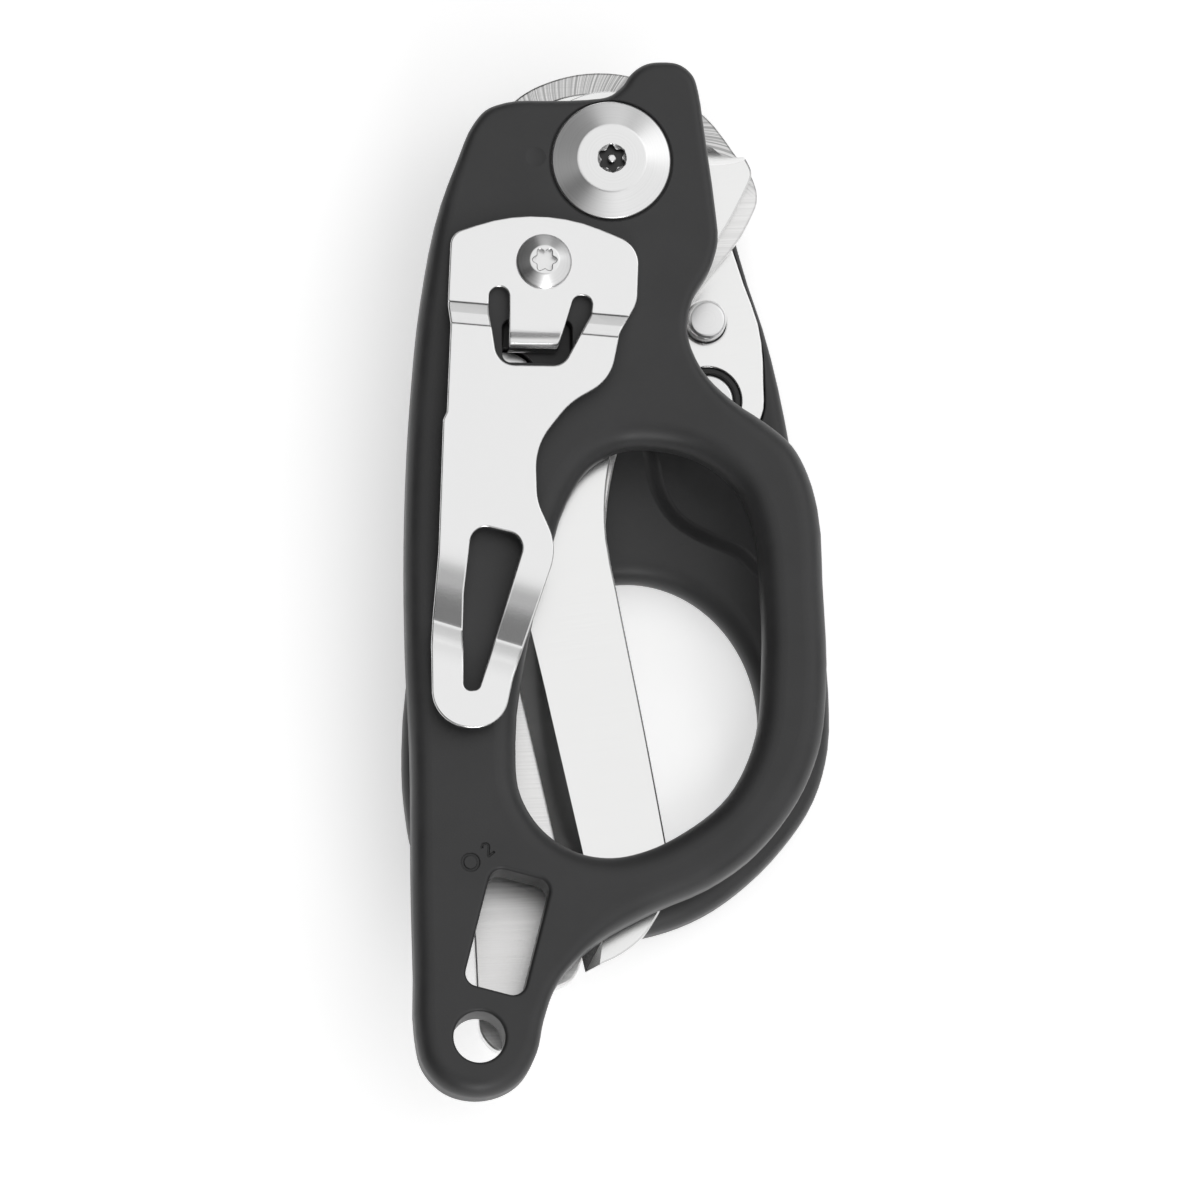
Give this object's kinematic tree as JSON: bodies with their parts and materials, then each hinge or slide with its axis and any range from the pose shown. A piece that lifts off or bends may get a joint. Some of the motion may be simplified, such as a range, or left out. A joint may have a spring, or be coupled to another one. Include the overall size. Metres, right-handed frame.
{
  "type": "folding trauma shears",
  "caption": "Folding trauma shears, folded flat: blades between two plastic loop handles on one pivot screw, with pocket clip, ring cutter, wrench slot and lanyard hole.",
  "frame": {"origin": "on the pivot's axis, at the back face of the pivot barrel and of the rear handle", "axes": "+Z along the pivot's axis from the back to the clip side; +Y from the loops to the pivot along the folded shears; +X to the right seen from the clip side"},
  "size_m": [0.0521, 0.1267, 0.0215],
  "materials": {
    "handle_plastic": "moulded glass-filled nylon with a fine matt grain",
    "bush_plastic": "plain black acetal",
    "satin_steel": "fine satin",
    "ground_steel": "ground across the blade, with visible grinding lines",
    "bright_steel": "bright turned and tumbled stainless steel",
    "bronze": "plain bearing bronze"
  },
  "bodies": {
    "rear_grip": {"rear_handle": "handle_plastic", "rear_lock_plate": "satin_steel", "rear_plate_rivet_1": "bright_steel", "rear_plate_rivet_2": "bright_steel", "rear_stop_pin": "bright_steel", "rear_plunger_bush": "bush_plastic", "rear_plunger_spring": "bright_steel", "rear_pivot_washer": "bronze", "pivot_barrel": "bright_steel", "pivot_screw": "bright_steel"},
    "rear_plunger": {"rear_lock_plunger": "bright_steel"},
    "rear_arm": {"rear_blade": "ground_steel", "middle_pivot_washer": "bronze"},
    "front_arm": {"front_blade": "satin_steel", "front_pivot_washer": "bronze"},
    "front_grip": {"front_handle": "handle_plastic", "front_lock_plate": "satin_steel", "front_plate_rivet_1": "bright_steel", "front_plate_rivet_2": "bright_steel", "front_stop_pin": "bright_steel", "front_plunger_bush": "bush_plastic", "front_plunger_spring": "bright_steel", "pocket_clip": "bright_steel", "clip_screw": "bright_steel", "clip_insert": "bronze"},
    "front_plunger": {"front_lock_plunger": "bright_steel"}
  },
  "joints": [
    {"name": "rear_fold", "type": "hinge", "parent": "rear_grip", "child": "rear_arm", "pos_m": [0, 0, 0.008], "axis": [0, 0, 1], "range_deg": [-160, 0]},
    {"name": "scissor", "type": "hinge", "parent": "rear_arm", "child": "front_arm", "pos_m": [0, 0, 0.0093], "axis": [0, 0, 1], "range_deg": [0, 38]},
    {"name": "front_fold", "type": "hinge", "parent": "front_arm", "child": "front_grip", "pos_m": [0, 0, 0.012], "axis": [0, 0, 1], "range_deg": [-160, 0]},
    {"name": "rear_plunger_slide", "type": "slide", "parent": "rear_grip", "child": "rear_plunger", "axis": [0, 0, -1], "range_m": [0, 0.0012], "stiffness_N_per_m": 500, "springref_m": -0.002, "deforming": ["rear_plunger_spring"]},
    {"name": "front_plunger_slide", "type": "slide", "parent": "front_grip", "child": "front_plunger", "axis": [0, 0, 1], "range_m": [0, 0.0012], "stiffness_N_per_m": 500, "springref_m": -0.002, "deforming": ["front_plunger_spring"]}
  ]
}
